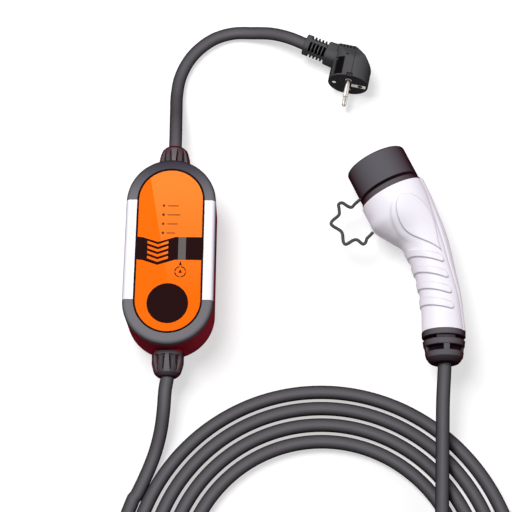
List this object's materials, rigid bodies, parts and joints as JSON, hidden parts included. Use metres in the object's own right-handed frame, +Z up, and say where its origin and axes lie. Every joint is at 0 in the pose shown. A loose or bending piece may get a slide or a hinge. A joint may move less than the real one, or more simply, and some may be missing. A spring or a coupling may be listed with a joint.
{
  "type": "portable ev charger",
  "caption": "Portable EV charger: angled mains plug on a short cord, control box with orange panel, coiled charging cable and a vehicle connector with tethered dust cap.",
  "frame": {"origin": "middle of the control box's back face, which lies on the floor", "axes": "+Z up out of the panel, +Y along the box to the mains plug's end, +X to the vehicle connector"},
  "size_m": [0.3799, 0.734, 0.0645],
  "materials": {
    "maroon_plastic": "satin moulded plastic",
    "bezel_grey": "satin moulded plastic",
    "white_gloss": "pearl white moulded plastic",
    "panel_orange": "gloss film",
    "panel_black": "gloss printed film",
    "display_smoke": "smoked window",
    "light_pipe": "unlit light pipe",
    "black_plastic": "satin moulded plastic",
    "black_rubber": "matt rubber",
    "cable_jacket": "satin cable jacket",
    "contact_metal": "nickel plated brass",
    "screw_steel": "zinc plated steel",
    "board_green": "solder mask",
    "part_dark": "moulded case",
    "core_gold": "coated core"
  },
  "bodies": {
    "charger": {"rear_shell": "maroon_plastic", "front_shell": "bezel_grey", "housing_seal": "black_rubber", "housing_screws": "screw_steel", "side_grip_left": "white_gloss", "side_grip_right": "white_gloss", "panel_seal": "panel_black", "front_panel": "panel_orange", "panel_band": "panel_black", "panel_badge": "panel_black", "display_window": "display_smoke", "status_lights": "light_pipe", "display_board": "board_green", "circuit_board": "board_green", "board_screws": "screw_steel", "power_relays": "part_dark", "leakage_sensor": "core_gold", "supply_transformer": "part_dark", "terminal_blocks": "board_green", "mains_gland_body": "black_plastic", "mains_gland_nut": "black_plastic", "ev_gland_body": "black_plastic", "ev_gland_nut": "black_plastic", "gland_seals": "black_rubber", "plug_body": "black_plastic", "plug_pins": "contact_metal", "earth_contacts": "contact_metal", "handle_shell_upper": "white_gloss", "handle_shell_lower": "white_gloss", "nose_housing": "black_plastic", "power_contacts": "contact_metal", "signal_contacts": "contact_metal", "cap_tether": "black_rubber", "handle_boot": "black_rubber", "cable_clamp": "black_plastic", "mains_cord": "cable_jacket", "ev_box_lead": "cable_jacket", "ev_coil": "cable_jacket", "ev_gun_lead": "cable_jacket"},
    "cap": {"dust_cap": "black_rubber"}
  },
  "joints": [
    {"name": "cap_pull", "type": "slide", "parent": "charger", "child": "cap", "axis": [-0.4226, 0.9063, 0], "range_m": [0, 0.04], "deforming": ["cap_tether"]}
  ]
}
